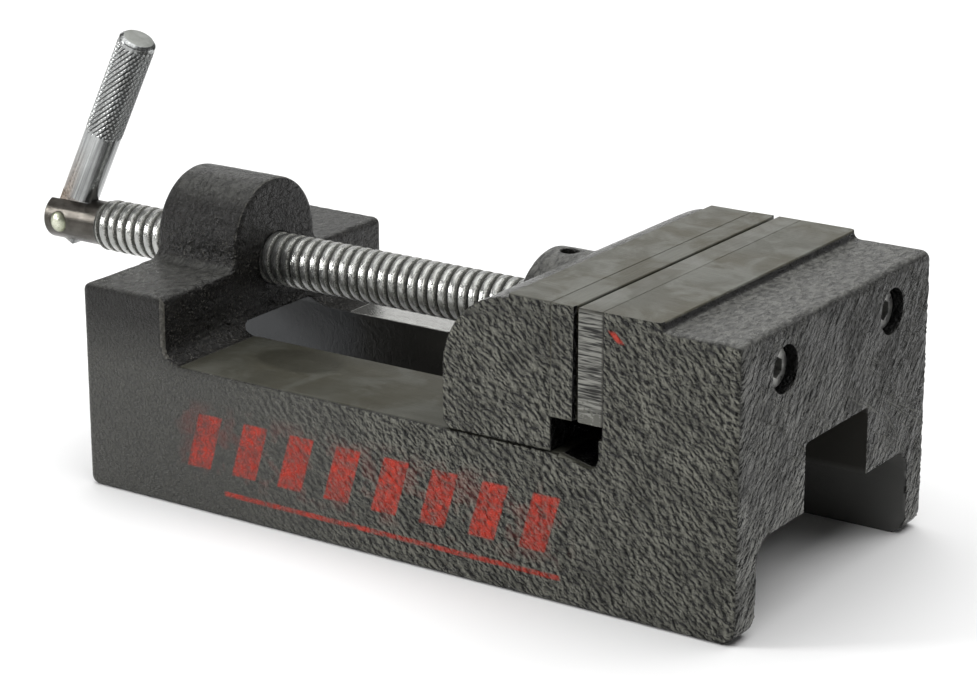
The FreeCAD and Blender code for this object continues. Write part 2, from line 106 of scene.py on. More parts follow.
def hashed(ix, iy, iz, seed):
    """A repeatable number from 0 to 1 for each lattice point."""
    h = (
        ix.astype(np.int64) * 374761393
        + iy.astype(np.int64) * 668265263
        + iz.astype(np.int64) * 2147483647
        + seed * 1274126177
    ) & 0xFFFFFFFF
    h = ((h ^ (h >> 13)) * 1274126177) & 0xFFFFFFFF
    h = ((h ^ (h >> 15)) * 2246822519) & 0xFFFFFFFF
    return ((h ^ (h >> 16)) & 0xFFFFFF) / float(0xFFFFFF)


def value_noise(p, size, seed):
    """Smooth noise from -1 to 1 with features about size millimetres wide."""
    q = p / size
    base = np.floor(q)
    f = q - base
    f = f * f * f * (f * (f * 6 - 15) + 10)
    base = base.astype(np.int64)
    total = np.zeros(len(p))
    for dx in (0, 1):
        wx = f[:, 0] if dx else 1 - f[:, 0]
        for dy in (0, 1):
            wy = f[:, 1] if dy else 1 - f[:, 1]
            for dz in (0, 1):
                wz = f[:, 2] if dz else 1 - f[:, 2]
                corner = hashed(base[:, 0] + dx, base[:, 1] + dy, base[:, 2] + dz, seed)
                total += corner * wx * wy * wz
    return total * 2 - 1


def layered(p, size, seed, layers):
    """Noise of several sizes, each half as wide and half as strong as the one before."""
    total = np.zeros(len(p))
    weight = 1.0
    whole = 0.0
    for i in range(layers):
        total += weight * value_noise(p, size / 2 ** i, seed + i)
        whole += weight
        weight *= 0.5
    return total / whole


# ---- meshes --------------------------------------------------------------------------------------

def welded_copy(node):
    mesh = nodes[node].data.copy()
    bm = bmesh.new()
    bm.from_mesh(mesh)
    bmesh.ops.remove_doubles(bm, verts=bm.verts, dist=1e-6)
    bm.to_mesh(mesh)
    bm.free()
    mesh.materials.clear()
    return mesh


def put(name, mesh):
    thing = bpy.data.objects.new(name, mesh)
    bpy.context.scene.collection.objects.link(thing)
    return thing


def remeshed(node, name, voxel):
    """A fine, even mesh of a CAD node."""
    thing = put(name, welded_copy(node))
    remesh = thing.modifiers.new("grid", "REMESH")
    remesh.mode = "VOXEL"
    remesh.voxel_size = voxel * MM
    graph = bpy.context.evaluated_depsgraph_get()
    fine = bpy.data.meshes.new_from_object(thing.evaluated_get(graph))
    thing.modifiers.clear()
    thing.data = fine
    fine.name = name
    return thing


def points_of(mesh):
    flat = np.empty(len(mesh.vertices) * 3)
    mesh.vertices.foreach_get("co", flat)
    return flat.reshape(-1, 3) / MM


def normals_of(mesh):
    flat = np.empty(len(mesh.vertices) * 3)
    mesh.vertex_normals.foreach_get("vector", flat)
    return flat.reshape(-1, 3)


def set_points(mesh, p):
    mesh.vertices.foreach_set("co", (p * MM).ravel())
    mesh.update()


def shade(mesh, soft):
    mesh.polygons.foreach_set("use_smooth", [soft] * len(mesh.polygons))


def mask_layer(mesh, name, values):
    layer = mesh.attributes.new(name, "FLOAT", "POINT")
    layer.data.foreach_set("value", values.astype(np.float32))


def grid_mesh(name, rings):
    """A tube with closed ends, from rings that are each an array of points in millimetres."""
    count = len(rings[0])
    verts = [tuple(q * MM) for ring in rings for q in ring]
    faces = []
    for i in range(len(rings) - 1):
        a = i * count
        b = a + count
        for j in range(count):
            k = (j + 1) % count
            faces.append((a + j, a + k, b + k, b + j))
    faces.append(tuple(range(count - 1, -1, -1)))
    last = (len(rings) - 1) * count
    faces.append(tuple(range(last, last + count)))
    mesh = bpy.data.meshes.new(name)
    mesh.from_pydata(verts, [], faces)
    bm = bmesh.new()
    bm.from_mesh(mesh)
    bmesh.ops.recalc_face_normals(bm, faces=bm.faces)
    bm.to_mesh(mesh)
    bm.free()
    return mesh


def part_of(node, point, direction):
    """The piece of a CAD node's mesh that lies behind a plane, closed at the cut."""
    mesh = welded_copy(node)
    bm = bmesh.new()
    bm.from_mesh(mesh)
    everything = bm.verts[:] + bm.edges[:] + bm.faces[:]
    cut = bmesh.ops.bisect_plane(
        bm, geom=everything, plane_co=Vector(point) * MM, plane_no=Vector(direction), clear_outer=True
    )
    edges = [e for e in cut["geom_cut"] if isinstance(e, bmesh.types.BMEdge)]
    bmesh.ops.holes_fill(bm, edges=edges)
    bm.to_mesh(mesh)
    bm.free()
    return mesh


def joined(name, meshes):
    bm = bmesh.new()
    for mesh in meshes:
        bm.from_mesh(mesh)
    whole = bpy.data.meshes.new(name)
    bm.to_mesh(whole)
    bm.free()
    return whole


def sharpen(thing, degrees):
    """Smooth shading that stays crisp at corners steeper than the angle."""
    mesh = thing.data
    shade(mesh, True)
    bm = bmesh.new()
    bm.from_mesh(mesh)
    limit = math.radians(degrees)
    for edge in bm.edges:
        if len(edge.link_faces) == 2:
            edge.smooth = edge.calc_face_angle(0) < limit
    bm.to_mesh(mesh)
    bm.free()


# ---- materials -----------------------------------------------------------------------------------

def linear(r, g, b):
    """A colour given as screen values from 0 to 255."""
    def one(c):
        c /= 255
        return c / 12.92 if c <= 0.04045 else ((c + 0.055) / 1.055) ** 2.4
    return (one(r), one(g), one(b), 1.0)


class Surface:
    """A material under construction: small helpers round its node tree."""

    def __init__(self, name):
        self.mat = bpy.data.materials.new(name)
        self.mat.use_nodes = True
        self.tree = self.mat.node_tree
        self.shader = self.tree.nodes["Principled BSDF"]
        self.coord = self.tree.nodes.new("ShaderNodeTexCoord")
        self.geo = self.tree.nodes.new("ShaderNodeNewGeometry")

    def link(self, a, b):
        self.tree.links.new(a, b)

    def put(self, socket, value):
        if isinstance(value, (int, float, tuple)):
            socket.default_value = value
        else:
            self.link(value, socket)

    def place(self, scale=(1, 1, 1), turn=(0, 0, 0), shift=(0, 0, 0)):
        """Object coordinates in millimetres, stretched or turned."""
        node = self.tree.nodes.new("ShaderNodeMapping")
        node.inputs["Scale"].default_value = tuple(s / MM for s in scale)
        node.inputs["Rotation"].default_value = turn
        node.inputs["Location"].default_value = shift
        self.link(self.coord.outputs["Object"], node.inputs["Vector"])
        return node.outputs["Vector"]

    def stretched(self, turn, scale, shift=(0, 0, 0)):
        """Object coordinates in millimetres, turned and shifted first and then stretched."""
        node = self.tree.nodes.new("ShaderNodeMapping")
        node.inputs["Scale"].default_value = scale
        self.link(self.place(turn=turn, shift=shift), node.inputs["Vector"])
        return node.outputs["Vector"]

    def blend(self, factor, a, b):
        """A number that goes from a to b with the factor."""
        node = self.tree.nodes.new("ShaderNodeMix")
        self.put(node.inputs["Factor"], factor)
        self.put(node.inputs[2], a)
        self.put(node.inputs[3], b)
        return node.outputs[0]

    def noise(self, vector, size, detail=3.0, rough=0.5, warp=0.0):
        node = self.tree.nodes.new("ShaderNodeTexNoise")
        node.inputs["Scale"].default_value = 1 / size
        node.inputs["Detail"].default_value = detail
        node.inputs["Roughness"].default_value = rough
        node.inputs["Distortion"].default_value = warp
        self.link(vector, node.inputs["Vector"])
        return node.outputs["Fac"]

    def cell(self, vector, size):
        """Distance to the nearest of many scattered points about size millimetres apart."""
        node = self.tree.nodes.new("ShaderNodeTexVoronoi")
        node.inputs["Scale"].default_value = 1 / size
        self.link(vector, node.inputs["Vector"])
        return node.outputs["Distance"]

    def span(self, value, low, high, to_low=0.0, to_high=1.0):
        """Rescales a value so that low gives to_low and high gives to_high, with a stop at both."""
        node = self.tree.nodes.new("ShaderNodeMapRange")
        node.inputs["From Min"].default_value = low
        node.inputs["From Max"].default_value = high
        node.inputs["To Min"].default_value = to_low
        node.inputs["To Max"].default_value = to_high
        self.link(value, node.inputs["Value"])
        return node.outputs["Result"]

    def math(self, kind, a, b=0.0):
        node = self.tree.nodes.new("ShaderNodeMath")
        node.operation = kind
        self.put(node.inputs[0], a)
        self.put(node.inputs[1], b)
        return node.outputs[0]

    def mix(self, factor, a, b):
        """A colour that goes from a to b with the factor."""
        node = self.tree.nodes.new("ShaderNodeMix")
        node.data_type = "RGBA"
        self.put(node.inputs["Factor"], factor)
        self.put(node.inputs[6], a)
        self.put(node.inputs[7], b)
        return node.outputs[2]

    def attribute(self, name):
        node = self.tree.nodes.new("ShaderNodeAttribute")
        node.attribute_name = name
        return node.outputs["Fac"]

    def dome(self, distance):
        """Round tops that meet in sharp valleys, from a distance to the nearest point."""
        squared = self.math("POWER", self.span(distance, 0.0, 0.75), 2.0)
        return self.math("SUBTRACT", 1.0, squared)

    def axes(self, vector):
        node = self.tree.nodes.new("ShaderNodeSeparateXYZ")
        self.link(vector, node.inputs[0])
        return node.outputs

    def normal_axes(self):
        return self.axes(self.geo.outputs["Normal"])

    def bump(self, height, strength, distance):
        node = self.tree.nodes.new("ShaderNodeBump")
        node.inputs["Strength"].default_value = strength
        node.inputs["Distance"].default_value = distance * MM
        self.link(height, node.inputs["Height"])
        return node.outputs["Normal"]

    def finish(self, colour, rough, metal, normal, **extra):
        self.put(self.shader.inputs["Base Color"], colour)
        self.put(self.shader.inputs["Roughness"], rough)
        self.put(self.shader.inputs["Metallic"], metal)
        self.link(normal, self.shader.inputs["Normal"])
        for name, value in extra.items():
            self.put(self.shader.inputs[name.replace("_", " ")], value)
        return self.mat


def band(s, value, low, high, soft):
    """1 between low and high, fading over soft."""
    up = s.span(value, low - soft, low + soft)
    down = s.span(value, high - soft, high + soft, 1.0, 0.0)
    return s.math("MULTIPLY", up, down)


def pebbles(s, shift):
    """Height of blobs that lean down to the right, from 0 in the cracks to 1."""
    leaning = s.stretched((0, math.radians(-38), 0), (0.6, 1, 1), (0, 0, shift))
    crack = s.span(s.noise(leaning, 1.5, 2, 0.5), 0.34, 0.56)
    blob = s.dome(s.cell(leaning, 1.7))
    return s.math("ADD", s.math("MULTIPLY", crack, 0.6), s.math("MULTIPLY", blob, 0.4))


def side_coat(s, here, x, z):
    """Pebbled paint of the sides, coarse towards the fixed jaw: its height and its colour."""
    coarse = s.span(x, -75, 10)
    pebble = pebbles(s, 0)
    rise = s.math("SUBTRACT", pebbles(s, 0.5), pebble)
    small = s.dome(s.cell(here, 0.95))
    frost = s.noise(here, 0.5, 3, 0.6)
    swell = s.noise(here, 9, 3, 0.6)
    speckle = s.math("ADD", s.math("MULTIPLY", small, 0.3), s.span(frost, 0.3, 0.7, 0.05, 0.3))
    height = s.blend(coarse, speckle, s.math("ADD", pebble, s.span(frost, 0.3, 0.7, -0.05, 0.05)))
    # painted shade: the flanks of the pebbles that face up and to the right are painted dark, and the
    # cracks darker still
    light = s.mix(s.span(swell, 0.35, 0.6), linear(92, 92, 84), linear(120, 120, 110))
    rough_paint = s.mix(s.span(rise, -0.2, 0.22), linear(17, 17, 15), light)
    rough_paint = s.mix(s.span(pebble, 0.2, 0.4, 0.6, 0), rough_paint, linear(13, 13, 11))
    calm = s.mix(s.span(speckle, 0.15, 0.4, 0, 0.5), linear(64, 64, 62), linear(84, 84, 78))
    calm = s.mix(s.span(z, 44, 62, 0, 0.85), calm, linear(16, 15, 13))
    return height, s.mix(coarse, calm, rough_paint)


def ground(s, here, turn, dull):
    """Ground or milled steel: its colour and the height of its grinding lines."""
    lines = s.noise(s.stretched((0, 0, turn), (0.04, 1.3, 1.3)), 0.6, 3, 0.7)
    stains = s.noise(here, 17, 4, 0.62, 0.9)
    warm = s.noise(here, 45, 2, 0.5)
    steel = s.mix(s.span(warm, 0.4, 0.6), linear(80, 77, 63), linear(86, 86, 77))
    steel = s.mix(s.span(stains, 0.46, 0.6, 0, 0.8), steel, linear(112, 113, 106))
    steel = s.mix(s.span(lines, 0.35, 0.7, 0, 0.4), steel, linear(52, 50, 41))
    steel = s.mix(dull, steel, linear(50, 49, 40))
    dots = s.span(s.cell(here, 4.4), 0.03, 0.06, 0.85, 0.0)
    return s.mix(dots, steel, linear(22, 20, 17)), lines


def wrinkles(s, shift):
    """Height of long folds that lean up to the right across the end face."""
    total = None
    for angle, size, width in ((-42, 1.8, 0.2), (-64, 1.5, 0.17), (-20, 1.6, 0.3)):
        flow = s.stretched((math.radians(angle), 0, 0), (1, width, 1), (0, 0, shift))
        one = s.span(s.noise(flow, size, 2, 0.5, 0.5), 0.38, 0.6, 0.0, 0.45)
        total = one if total is None else s.math("ADD", total, one)
    return total


def end_coat(s, here, y, z):
    """Leathery paint of the end face, with thin folds and a few long scratches."""
    frost = s.noise(here, 0.8, 3, 0.6)
    cloud = s.noise(here, 10, 4, 0.6)
    fold = wrinkles(s, 0)
    rise = s.math("SUBTRACT", wrinkles(s, 0.4), fold)
    scratch = None
    for angle in (33, 28, 48):
        flow = s.stretched((math.radians(angle), 0, 0), (1, 0.03, 1))
        one = s.span(s.noise(flow, 1.6, 1, 0.5), 0.71, 0.75)
        scratch = one if scratch is None else s.math("MAXIMUM", scratch, one)
    height = s.math("ADD", s.math("MULTIPLY", fold, 0.6), s.span(frost, 0.3, 0.7, 0.0, 0.08))
    height = s.math("SUBTRACT", height, s.math("MULTIPLY", scratch, 0.3))
    # painted reflection of the floor: the end face is paler low down and towards the near side
    low = s.math("ADD", z, s.math("MULTIPLY", y, 0.5))
    light = s.mix(s.span(low, 10, 85), linear(138, 138, 133), linear(58, 58, 54))
    light = s.mix(s.span(cloud, 0.42, 0.62, 0, 0.6), light, linear(30, 30, 28))
    # painted shade on one flank of each fold
    paint = s.mix(s.span(rise, -0.2, 0.22), linear(12, 12, 10), light)
    return height, s.mix(s.math("MULTIPLY", scratch, 0.35), paint, linear(110, 110, 104))


def red_bars(s, here, x, z, cloud, height):
    """How much red there is: a row of slanted bars over a line, sprayed through a stencil."""
    lean = s.math("ADD", x, s.math("MULTIPLY", z, -0.3))
    first, step, width = -86, 18.5, 9.5
    bars = None
    for k in range(8):
        start = first + step * k
        one = band(s, lean, start, start + width, 0.35)
        bars = one if bars is None else s.math("MAXIMUM", bars, one)
    bars = s.math("MULTIPLY", bars, band(s, z, 15.5, 34.0, 0.4))
    rule = s.math("MULTIPLY", band(s, x, -66, 63, 0.5), band(s, z, 7.6, 9.2, 0.3))
    bars = s.math("MAXIMUM", bars, rule)
    patchy = s.span(s.noise(here, 3.2, 5, 0.7), 0.34, 0.6, 0.25, 1.0)
    patchy = s.math("MULTIPLY", patchy, s.span(height, 0.0, 0.5, 0.35, 1.0))
    halo = s.math("MULTIPLY", band(s, z, 13, 36.5, 2.5), band(s, x, -84, 66, 3.0))
    halo = s.math("MULTIPLY", halo, s.span(cloud, 0.5, 0.7, 0.0, 0.2))
    stencil = s.math("MAXIMUM", s.math("MULTIPLY", bars, patchy), halo)
    # a small stray mark on the fixed jaw, close to its plate
    slant = s.math("ADD", x, z)
    fleck = s.math("MULTIPLY", band(s, slant, 169.0, 171.4, 0.4), band(s, z, 86.5, 89.5, 0.5))
    stencil = s.math("MAXIMUM", stencil, s.math("MULTIPLY", fleck, 0.8))
    return s.math("MULTIPLY", stencil, s.attribute("near"))


def plain_coat(s, here, z, ripple):
    """Nearly black paint of the faces that no other coat covers: its height and its colour."""
    frost = s.noise(here, 0.7, 3, 0.6)
    broad = s.noise(here, 40, 3, 0.55)
    height = s.math("ADD", s.span(ripple, 0.3, 0.7, 0.2, 0.6), s.span(frost, 0.3, 0.7, -0.06, 0.06))
    colour = s.mix(s.span(broad, 0.35, 0.65), linear(14, 13, 12), linear(26, 25, 23))
    specks = s.math("MULTIPLY", s.span(frost, 0.58, 0.66), s.span(z, 92, 72, 0.1, 0.8))
    return height, s.mix(specks, colour, linear(92, 90, 84))


def top_coat(s, x, ripple):
    """Grey paint of the tops, darker towards the crank."""
    colour = s.mix(s.span(ripple, 0.38, 0.6), linear(58, 58, 56), linear(98, 98, 94))
    return s.mix(s.span(x, 60, -60, 0.0, 0.6), colour, linear(20, 20, 18))


def channel_coat(s, paint, inner, x, z):
    """Painted light in the shaded channel: paler paint inside it, palest low down, and a flat grey one
    under the beam.
    """
    paint = s.mix(inner, paint, s.mix(s.span(z, 28, 32), linear(92, 92, 90), linear(54, 53, 50)))
    under_beam = s.math("MULTIPLY", inner, s.span(x, -66, -76))
    return s.mix(s.math("MULTIPLY", under_beam, 0.9), paint, linear(66, 68, 70))


def bare_steel(s, here, x, y, z):
    """Pads and rails: their colour, their grinding lines, and a painted reflection on the far rail's top.
    """
    rail = s.span(z, 50, 49, 0.0, 1.0)
    # the near rail has a dull oval close to the beam
    oval = s.math("ADD", s.math("POWER", s.span(x, -72, -38, -1, 1), 2.0),
                  s.math("POWER", s.span(y, -44, -22, -1, 1), 2.0))
    dull = s.math("MULTIPLY", rail, s.span(oval, 0.7, 1.1, 0.95, 0.55))
    steel, lines = ground(s, here, math.radians(8), dull)
    # painted reflection: the far rail's top is painted near white
    far_rail_glare = s.math("MULTIPLY", rail, s.span(y, 10, 12))
    glare_colour = s.mix(s.span(lines, 0.3, 0.7), linear(186, 186, 182), linear(160, 160, 156))
    return s.mix(far_rail_glare, steel, glare_colour), lines, far_rail_glare


def hammer_paint(name):
    """Dark grey paint over a rough casting, with bare milled faces, worn edges and red bars, and with
    painted shade, painted light, a painted highlight and a painted reflection.
    """
    s = Surface(name)
    here = s.place()
    x, y, z = s.axes(here)
    side, end, top = (s.attribute(key) for key in ("side", "end", "top"))
    bare, inner = s.attribute("bare"), s.attribute("inner")
    cloud = s.noise(here, 9, 4, 0.6)
    ripple = s.noise(s.place((1, 0.5, 1)), 1.6, 3, 0.55, 0.5)
    side_height, side_paint = side_coat(s, here, x, z)
    end_height, end_paint = end_coat(s, here, y, z)
    plain_height, plain_paint = plain_coat(s, here, z, ripple)
    height = s.blend(side, plain_height, side_height)
    height = s.blend(end, height, end_height)

    paint = s.mix(side, plain_paint, side_paint)
    paint = s.mix(end, paint, end_paint)
    paint = s.mix(top, paint, top_coat(s, x, ripple))
    paint = channel_coat(s, paint, inner, x, z)
    # painted shade: near black on the jaw seat, the counterbore walls, the pocket under the plates and the
    # step's wall
    paint = s.mix(s.attribute("painted_shade"), paint, linear(9, 9, 8))
    red = s.mix(s.span(cloud, 0.3, 0.7), linear(196, 54, 34), linear(150, 38, 25))
    paint = s.mix(red_bars(s, here, x, z, cloud, height), paint, red)
    # paler paint where edges are worn, and a painted highlight down the beam's near edge
    worn = s.math("ADD", s.attribute("edge"), s.math("MULTIPLY", s.noise(here, 2.2, 4, 0.7), 0.8))
    chips_and_highlight = s.span(worn, 1.0, 1.25)
    paint = s.mix(s.math("MULTIPLY", chips_and_highlight, 0.6), paint, linear(120, 118, 110))

    steel, lines, far_rail_glare = bare_steel(s, here, x, y, z)
    colour = s.mix(bare, paint, steel)
    # where the far rail carries its painted reflection it is also made glossier and more metallic
    rough = s.math("ADD", s.math("MULTIPLY", bare, 0.16), s.span(cloud, 0.3, 0.7, 0.22, 0.32))
    rough = s.blend(far_rail_glare, rough, 0.2)
    metal = s.math("MULTIPLY", bare, s.blend(far_rail_glare, 0.4, 0.9))
    height = s.math("MULTIPLY", height, s.span(inner, 0, 1, 1, 0.1))
    normal = s.bump(s.blend(bare, height, s.math("MULTIPLY", lines, 0.08)), 1.0, 1.2)
    return s.finish(colour, rough, metal, normal, Specular_IOR_Level=0.25)


def sawn_end(s, x, z):
    """Saw marks on a plate's end, paler low down, with a dark rim: their height and their colour."""
    saw = s.noise(s.place((0.12, 0.12, 1.7)), 1.2, 2, 0.6, 0.3)
    colour = s.mix(s.span(saw, 0.4, 0.58), linear(28, 28, 26), linear(132, 132, 126))
    blotch = s.math("ADD", s.noise(s.place(), 1.5, 3, 0.6), s.span(z, 54, 70, 0.25, -0.15))
    colour = s.mix(s.span(blotch, 0.5, 0.56), colour, linear(92, 92, 86))
    rim = s.math("MAXIMUM", s.span(z, PAD_Z - 1.4, PAD_Z - 0.6), s.span(x, SEAT_X - 0.7, SEAT_X - 0.2))
    return saw, s.mix(s.math("MULTIPLY", rim, 0.7), colour, linear(40, 38, 30))


def fixed_plate_steel(name):
    """Ground plate with sawn ends."""
    s = Surface(name)
    here = s.place()
    x, _, z = s.axes(here)
    steel, lines = ground(s, here, math.radians(90), 0.0)
    end = s.span(s.math("ABSOLUTE", s.normal_axes()[Y]), 0.8, 0.95)
    saw, sawn = sawn_end(s, x, z)
    height = s.blend(end, s.math("MULTIPLY", lines, 0.12), s.math("MULTIPLY", saw, 0.7))
    rough = s.span(saw, 0.3, 0.7, 0.36, 0.5)
    return s.finish(s.mix(end, steel, sawn), rough, 0.4, s.bump(height, 1.0, 0.75), Specular_IOR_Level=0.4)


def movable_plate_steel(name):
    """Ground plate whose ends are painted over together with the jaw."""
    s = Surface(name)
    here = s.place()
    x, _, z = s.axes(here)
    steel, lines = ground(s, here, math.radians(90), 0.0)
    painted_gap_shade = s.attribute("painted_gap_shade")
    end = s.span(s.math("ABSOLUTE", s.normal_axes()[Y]), 0.8, 0.95)
    end = s.math("MAXIMUM", end, painted_gap_shade)
    pebbled, coat_colour = side_coat(s, here, x, z)
    # painted shade: the cut-back front edge is painted near black
    coat_colour = s.mix(painted_gap_shade, coat_colour, linear(7, 7, 7))
    height = s.blend(end, s.math("MULTIPLY", lines, 0.12), pebbled)
    rough = s.blend(end, 0.44, 0.3)
    metal = s.math("MULTIPLY", s.math("SUBTRACT", 1.0, end), 0.4)
    colour = s.mix(end, steel, coat_colour)
    return s.finish(colour, rough, metal, s.bump(height, 1.0, 1.2), Specular_IOR_Level=0.25)


def keeper_steel(name):
    """Zinc-plated steel with small pits and dull patches."""
    s = Surface(name)
    here = s.place()
    cloud = s.noise(here, 5, 4, 0.6, 0.4)
    tone = (120, 118, 112)
    base = s.mix(s.span(cloud, 0.35, 0.65), linear(*tone), linear(*(c * 0.78 for c in tone)))
    pits = s.span(s.cell(here, 1.6), 0.04, 0.09, 0.7, 0.0)
    base = s.mix(pits, base, linear(60, 55, 45))
    normal = s.bump(s.noise(here, 0.35, 3, 0.6), 0.25, 0.04)
    return s.finish(base, s.span(cloud, 0.3, 0.7, 0.35, 0.5), 0.85, normal)


def spindle_steel(name):
    """Bright thread with a rough grey flank, painted shade in its grooves, and a darker pitted plain end.
    """
    s = Surface(name)
    here = s.place()
    x, _, z = s.axes(here)
    cloud = s.noise(here, 5, 4, 0.6, 0.4)
    grit = s.noise(here, 0.45, 4, 0.7)
    flank, groove = s.attribute("flank"), s.attribute("groove")
    crest = s.mix(s.span(cloud, 0.35, 0.65), linear(176, 177, 174), linear(146, 147, 144))
    gritty = s.mix(s.span(grit, 0.42, 0.58), linear(62, 62, 59), linear(190, 190, 184))
    thread = s.mix(flank, crest, gritty)
    # painted shade in the roots of the thread
    thread = s.mix(groove, thread, linear(34, 34, 32))
    neck = s.mix(s.span(cloud, 0.35, 0.65), linear(88, 85, 80), linear(66, 63, 58))
    pitted = s.math("MULTIPLY", s.span(z, 66.5, 63.5), band(s, x, -179, -169, 2.0))
    pits = s.math("MULTIPLY", s.span(grit, 0.45, 0.55), s.math("MAXIMUM", pitted, 0.12))
    neck = s.mix(pits, neck, linear(26, 23, 20))
    plain = s.span(x, THREAD_X[0] + 0.4, THREAD_X[0] - 0.2)
    colour = s.mix(plain, thread, neck)
    rough = s.blend(plain, s.span(s.math("MAXIMUM", flank, groove), 0, 1, 0.2, 0.55), 0.27)
    hollow = s.math("MULTIPLY", grit, s.math("MAXIMUM", s.math("MULTIPLY", flank, 0.8), pits))
    normal = s.bump(hollow, 0.8, 0.25)
    return s.finish(colour, rough, 0.85, normal)


def crank_steel(name):
    """Bright drawn bar with lengthwise streaks that are partly drawing marks and partly painted reflection
    stripes, dark knurl grooves, a matt end and a rusty fork side.
    """
    s = Surface(name)
    here = s.place()
    streaks_and_sheen = s.noise(s.stretched((0, -LEAN, 0), (1, 1, 0.02)), 1.3, 4, 0.65)
    cloud = s.noise(here, 6, 4, 0.6, 0.4)
    groove, cap, rust = s.attribute("groove"), s.attribute("cap"), s.attribute("rust")
    # lengthwise streaks: partly drawing marks, partly painted reflection stripes
    bar = s.mix(s.span(streaks_and_sheen, 0.35, 0.65), linear(98, 100, 101), linear(190, 192, 191))
    bar = s.mix(s.span(cloud, 0.4, 0.7, 0, 0.3), bar, linear(110, 110, 106))
    bar = s.mix(s.math("MULTIPLY", groove, 0.8), bar, linear(60, 61, 59))
    matt = s.mix(s.span(cloud, 0.35, 0.65), linear(148, 150, 146), linear(122, 124, 119))
    bar = s.mix(cap, bar, matt)
    scale = s.span(s.noise(here, 0.8, 3, 0.7), 0.4, 0.6)
    bar = s.mix(rust, bar, s.mix(scale, linear(74, 58, 46), linear(150, 138, 126)))
    rough = s.blend(s.math("MAXIMUM", cap, groove), s.span(streaks_and_sheen, 0.3, 0.7, 0.14, 0.3), 0.5)
    normal = s.bump(streaks_and_sheen, 0.3, 0.03)
    return s.finish(bar, rough, s.blend(cap, 0.85, 0.3), normal)


def rivet_steel(name):
    """Yellowish domed rivet with a brighter, hammered middle."""
    s = Surface(name)
    here = s.place()
    x, _, z = s.axes(here)
    dx = s.math("ADD", x, -PIVOT_X)
    dz = s.math("ADD", z, -AXIS_Z)
    out = s.math("SQRT", s.math("ADD", s.math("MULTIPLY", dx, dx), s.math("MULTIPLY", dz, dz)))
    dents = s.noise(here, 1.1, 4, 0.65)
    base = s.mix(s.span(out, 1.0, 3.4), linear(206, 208, 190), linear(150, 154, 132))
    base = s.mix(s.span(out, 3.1, 3.8), base, linear(76, 74, 60))
    base = s.mix(s.span(dents, 0.5, 0.7, 0, 0.5), base, linear(110, 112, 92))
    return s.finish(base, s.span(dents, 0.3, 0.7, 0.2, 0.42), 0.75, s.bump(dents, 0.6, 0.3))


def blackened_steel(name):
    """Screw heads whose black finish has mostly worn off to grey."""
    s = Surface(name)
    here = s.place()
    cloud = s.noise(here, 3, 4, 0.6)
    fine = s.noise(here, 0.3, 3, 0.6)
    base = s.mix(s.span(cloud, 0.35, 0.65), linear(120, 120, 119), linear(176, 176, 172))
    base = s.mix(s.span(fine, 0.5, 0.7, 0, 0.5), base, linear(30, 30, 29))
    return s.finish(base, s.span(cloud, 0.3, 0.7, 0.24, 0.4), 0.85, s.bump(fine, 0.5, 0.08))


def dress(thing, material):
    thing.data.materials.clear()
    thing.data.materials.append(material)


# ---- castings ------------------------------------------------------------------------------------

BODY_VOXEL = 0.5
JAW_VOXEL = 0.45
SNAP = 0.6        # how close to a machined plane a point is moved onto it, as a share of the voxel


def between(value, low, high):
    return (value > low) & (value < high)


def flatten(p, axis, value, reach, within):
    """Moves points close to a machined plane exactly onto it and returns which they are."""
    near = np.abs(p[:, axis] - value) < reach
    for other, low, high in within:
        near &= between(p[:, other], low, high)
    p[near, axis] = value
    return near


def rounded(p, centre, radius, wall):
    """Moves the points of a wall onto a round hole that runs along X."""
    across = p[wall][:, Y:] - centre
    p[wall, Y:] = centre + across * (radius / np.hypot(*across.T))[:, None]


def slanted(p, turn, stretch, axes):
    """Points turned in the plane of two axes, then squeezed along the first."""
    a, b = axes
    q = p.copy()
    q[:, a] = (p[:, a] * math.cos(turn) + p[:, b] * math.sin(turn)) * stretch
    q[:, b] = p[:, b] * math.cos(turn) - p[:, a] * math.sin(turn)
    return q


def creases_at(p, right_end):
    """Thin wrinkles of the end face, from 0 to 1, in three directions."""
    total = np.zeros(len(p))
    for degrees, squeeze, size, seed, reach in (
        (50, 0.24, 2.4, 71, 0.2),
        (72, 0.18, 2.0, 72, 0.17),
        (30, 0.3, 2.0, 73, 0.16),
    ):
        flow = slanted(p, math.radians(degrees), squeeze, (Y, Z))
        line = 1 - smooth(0.0, reach, np.abs(value_noise(flow, size, seed)))
        total = np.maximum(total, line)
    fade = smooth(-0.45, 0.1, value_noise(p, 9.0, 75))
    return total * (0.35 + 0.65 * fade) * (p[:, X] > right_end - 3)


def faces_of(p, n, right_end):
    """How much each point lies on a side, on the end face, or on top."""
    side = smooth(0.6, 0.85, np.abs(n[:, Y])) * (np.abs(p[:, Y]) > HALF_WIDTH - 2)
    end = smooth(0.6, 0.85, n[:, X]) * (p[:, X] > right_end - 1.0)
    top = smooth(0.6, 0.85, n[:, Z]) * (p[:, Z] > 60.0)
    return side, end, top


def cast_relief(p, side, end, top, crease):
    """Height of the paint over the casting, in millimetres, by region."""
    coarse = smooth(-95, 10, p[:, X])
    small = layered(p, 1.6, 5, 2)
    swell = layered(p, 14, 23, 2)
    lumps = layered(slanted(p, math.radians(-38), 0.55, (X, Z)), 1.9, 11, 2)
    side_height = (0.04 + 0.12 * coarse) * lumps
    end_height = 0.3 * crease + 0.03 * small
    ripples = layered(p * np.array([1, 0.45, 1]), 1.9, 91, 2)
    top_height = 0.09 * ripples
    rest = 0.05 * small * (1 - side) * (1 - end) * (1 - top)
    return rest + side * side_height + end * end_height + top * top_height + 0.06 * swell


